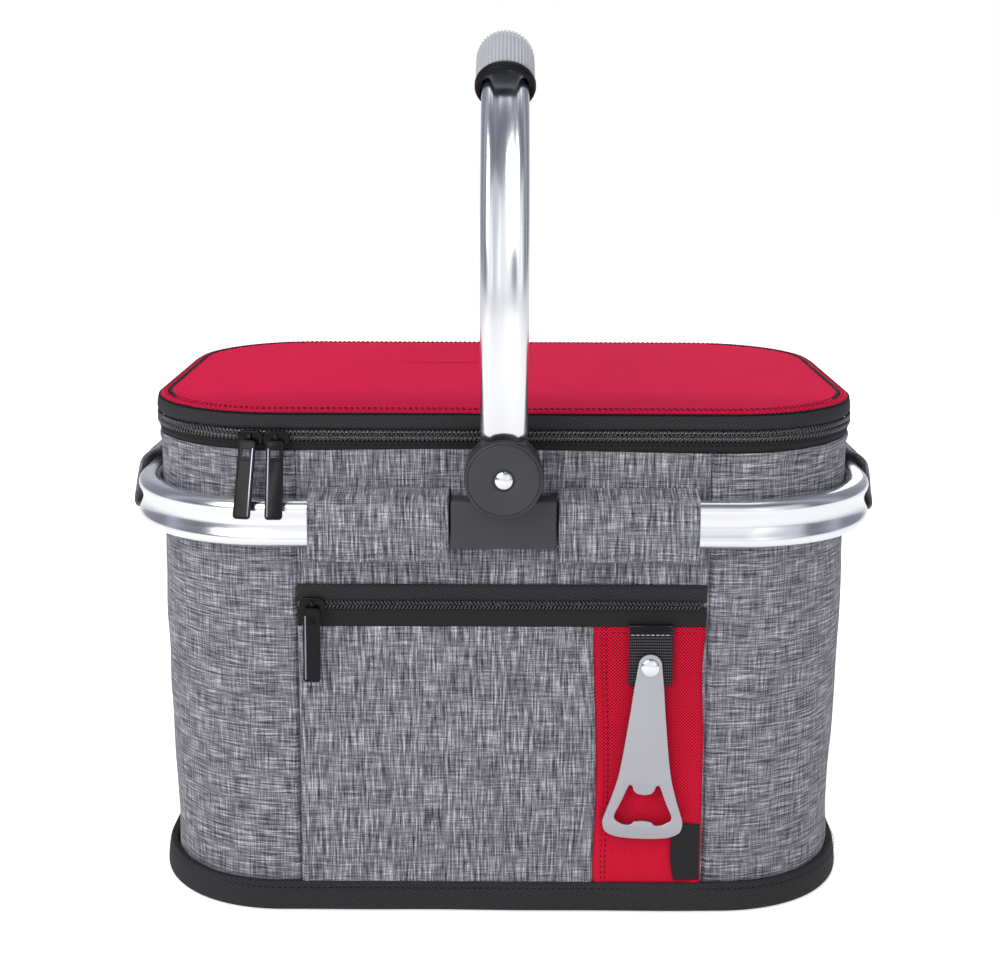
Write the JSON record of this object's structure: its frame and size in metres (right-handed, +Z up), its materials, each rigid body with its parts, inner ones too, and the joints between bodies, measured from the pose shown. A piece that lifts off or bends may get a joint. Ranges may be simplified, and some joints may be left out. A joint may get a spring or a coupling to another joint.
{
  "type": "insulated cooler bag",
  "caption": "Soft-sided insulated cooler basket with an aluminium ring frame, swing-over carry handle, zipped lid, front pocket and hanging bottle opener.",
  "frame": {"origin": "middle of the base, on the surface the bag stands on", "axes": "+Z up, the front with the pocket faces -Y, +X to the right as seen from the front"},
  "size_m": [0.4592, 0.3822, 0.5055],
  "materials": {
    "heather_fabric": "grey heather polyester with light and dark slubs",
    "red_fabric": "red oxford weave",
    "black_twill": "black twill tape",
    "black_webbing": "black ribbed webbing",
    "aluminium": "satin anodised extrusion",
    "hinge_plastic": "fine grained",
    "grip_rubber": "light grey, finely ribbed",
    "collar_rubber": "black",
    "foam": "closed-cell foam",
    "liner_film": "silvered film, softly creased",
    "board": "stiff insert",
    "zip_teeth": "black coil zip",
    "slider_metal": "gloss black",
    "steel": "satin stamped steel"
  },
  "bodies": {
    "bag": {"base_cover": "black_twill", "base_board": "board", "base_binding": "black_twill", "wall_foam": "foam", "liner": "liner_film", "front_panel": "heather_fabric", "back_panel": "heather_fabric", "side_panel_left": "heather_fabric", "side_panel_right": "heather_fabric", "rim_tape": "black_twill", "rim_zip_teeth": "zip_teeth", "rear_hinge_strip": "black_twill", "pocket_panel": "heather_fabric", "accent_panel": "red_fabric", "pocket_tape_lower": "black_twill", "pocket_tape_upper": "black_twill", "pocket_zip_teeth": "zip_teeth", "side_label": "black_webbing", "ring_left": "aluminium", "ring_right": "aluminium", "front_connector": "hinge_plastic", "back_connector": "hinge_plastic", "front_pivot_rivet": "steel", "back_pivot_rivet": "steel", "front_sleeve_left": "heather_fabric", "front_sleeve_right": "heather_fabric", "back_sleeve_left": "heather_fabric", "back_sleeve_right": "heather_fabric", "side_strap_left": "heather_fabric", "side_strap_right": "heather_fabric"},
    "lid": {"lid_top_panel": "red_fabric", "lid_piping": "black_webbing", "lid_band": "black_twill", "lid_zip_teeth": "zip_teeth", "lid_foam": "foam", "lid_liner": "liner_film"},
    "handle": {"handle_tube": "aluminium", "handle_grip": "grip_rubber", "grip_collar_front": "collar_rubber", "grip_collar_back": "collar_rubber", "front_handle_hinge": "hinge_plastic", "back_handle_hinge": "hinge_plastic"},
    "left_slider": {"left_zip_slider": "slider_metal"},
    "left_pull": {"left_pull_tab": "slider_metal"},
    "right_slider": {"right_zip_slider": "slider_metal"},
    "right_pull": {"right_pull_tab": "slider_metal"},
    "pocket_slider": {"pocket_zip_slider": "slider_metal"},
    "pocket_pull": {"pocket_pull_tab": "slider_metal"},
    "opener_loop": {"opener_strap": "black_webbing", "opener_rivet": "steel"},
    "opener": {"bottle_opener": "steel"}
  },
  "joints": [
    {"name": "lid_hinge", "type": "hinge", "parent": "bag", "child": "lid", "pos_m": [0, 0.1398, 0.28255], "axis": [-1, 0, 0], "range_deg": [0, 38]},
    {"name": "handle_pivot", "type": "hinge", "parent": "bag", "child": "handle", "pos_m": [0, 0, 0.2645], "axis": [0, 1, 0], "range_deg": [-84, 84]},
    {"name": "left_slider_travel", "type": "hinge", "parent": "bag", "child": "left_slider", "pos_m": [-0.1274, -0.0604, 0.28085], "axis": [0, 0, -1], "range_deg": [0, 75]},
    {"name": "left_pull_lift", "type": "hinge", "parent": "left_slider", "child": "left_pull", "pos_m": [-0.14231, -0.14418, 0.27965], "axis": [-0.9845, 0.1753, 0], "range_deg": [0, 140]},
    {"name": "right_slider_travel", "type": "slide", "parent": "bag", "child": "right_slider", "axis": [1, 0, 0], "range_m": [0, 0.085]},
    {"name": "right_pull_lift", "type": "hinge", "parent": "right_slider", "child": "right_pull", "pos_m": [-0.1268, -0.1455, 0.27965], "axis": [-1, 0, 0], "range_deg": [0, 140]},
    {"name": "pocket_slider_travel", "type": "slide", "parent": "bag", "child": "pocket_slider", "axis": [1, 0, 0], "range_m": [0, 0.216]},
    {"name": "pocket_pull_lift", "type": "hinge", "parent": "pocket_slider", "child": "pocket_pull", "pos_m": [-0.108, -0.1469, 0.1841], "axis": [-1, 0, 0], "range_deg": [0, 140]},
    {"name": "opener_loop_lift", "type": "hinge", "parent": "bag", "child": "opener_loop", "pos_m": [0.084, -0.1413, 0.1731], "axis": [-1, 0, 0], "range_deg": [0, 60]},
    {"name": "opener_swing", "type": "hinge", "parent": "opener_loop", "child": "opener", "pos_m": [0.0836, -0.1438, 0.1497], "axis": [0, 1, 0], "range_deg": [-60, 60]}
  ]
}
